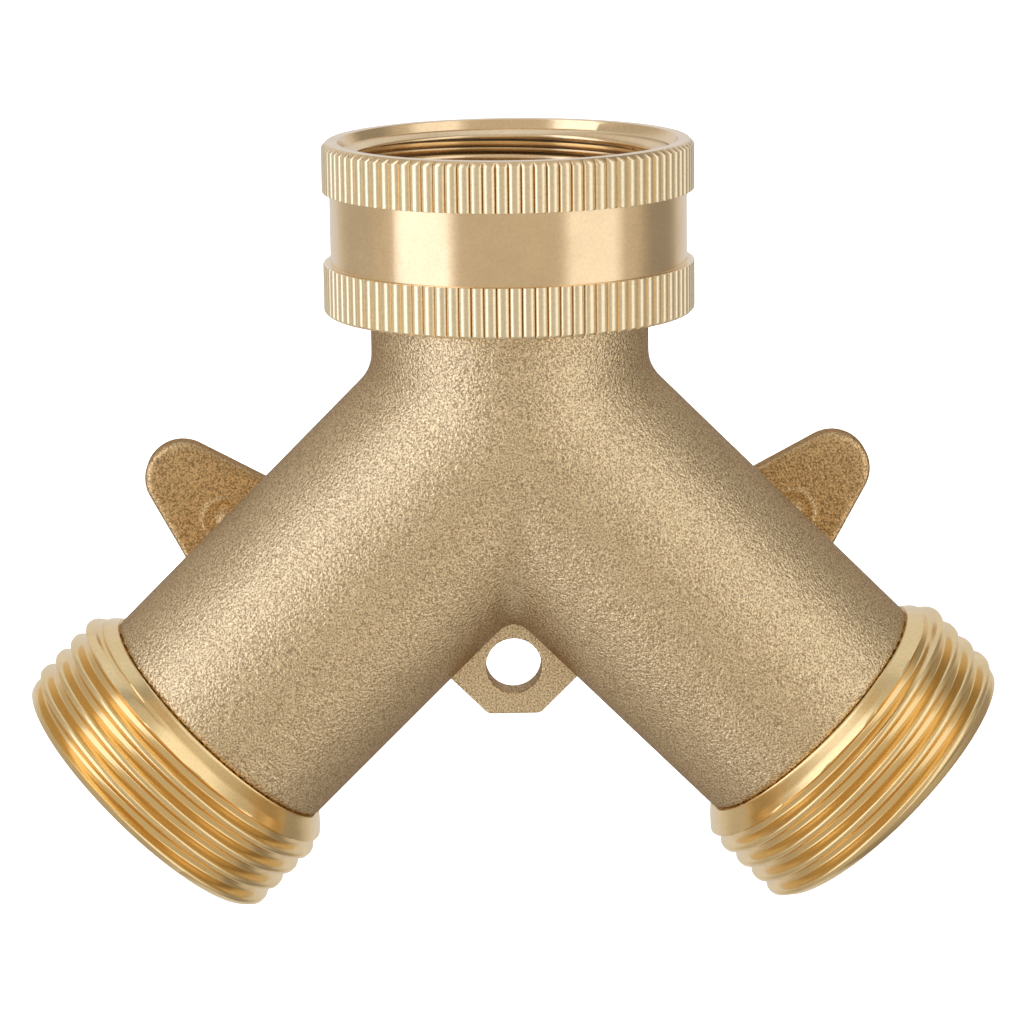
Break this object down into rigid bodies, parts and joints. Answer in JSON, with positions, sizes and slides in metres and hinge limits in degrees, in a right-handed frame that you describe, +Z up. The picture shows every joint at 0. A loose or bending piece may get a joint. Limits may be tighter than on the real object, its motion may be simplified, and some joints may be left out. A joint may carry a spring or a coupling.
{
  "type": "hose splitter",
  "caption": "Brass Y-shaped garden hose splitter: knurled swivel inlet nut, two male threaded outlets, and a quarter-turn lever ball valve in each leg.",
  "frame": {"origin": "centre of the inlet washer's upper face, on the inlet's axis, where the tap's spout seals", "axes": "+Z up the inlet's axis towards the tap, +X from the left outlet to the right one, +Y towards the side with the levers"},
  "size_m": [0.0796, 0.0358, 0.0631],
  "materials": {
    "cast_brass": "sandblasted casting, satin",
    "lever_brass": "blasted die casting, satin",
    "turned_brass": "machined and polished",
    "ball_chrome": "polished plating",
    "washer_rubber": "matt moulded rubber",
    "seal_rubber": "smooth moulded rubber",
    "seat_plastic": "turned PTFE",
    "screw_steel": "bright zinc plate"
  },
  "bodies": {
    "splitter": {"y_body": "cast_brass", "inlet_tailpiece": "turned_brass", "tailpiece_seal": "seal_rubber", "inlet_washer": "washer_rubber", "left_outlet_nipple": "turned_brass", "left_nipple_seal": "seal_rubber", "left_inner_seat": "seat_plastic", "left_outer_seat": "seat_plastic", "left_stem_washer": "seat_plastic", "left_stem_seal": "seal_rubber", "right_outlet_nipple": "turned_brass", "right_nipple_seal": "seal_rubber", "right_inner_seat": "seat_plastic", "right_outer_seat": "seat_plastic", "right_stem_washer": "seat_plastic", "right_stem_seal": "seal_rubber"},
    "inlet_nut": {"swivel_nut": "turned_brass"},
    "left_valve": {"left_handle": "lever_brass", "left_handle_washer": "screw_steel", "left_handle_screw": "screw_steel", "left_stem": "turned_brass", "left_ball": "ball_chrome"},
    "right_valve": {"right_handle": "lever_brass", "right_handle_washer": "screw_steel", "right_handle_screw": "screw_steel", "right_stem": "turned_brass", "right_ball": "ball_chrome"}
  },
  "joints": [
    {"name": "nut_swivel", "type": "hinge", "parent": "splitter", "child": "inlet_nut", "pos_m": [0, 0, 0], "axis": [0, 0, 1], "continuous": true},
    {"name": "left_valve_turn", "type": "hinge", "parent": "splitter", "child": "left_valve", "pos_m": [-0.01768, 0, -0.03338], "axis": [0, -1, 0], "range_deg": [0, 90]},
    {"name": "right_valve_turn", "type": "hinge", "parent": "splitter", "child": "right_valve", "pos_m": [0.01768, 0, -0.03338], "axis": [0, 1, 0], "range_deg": [0, 90]}
  ]
}
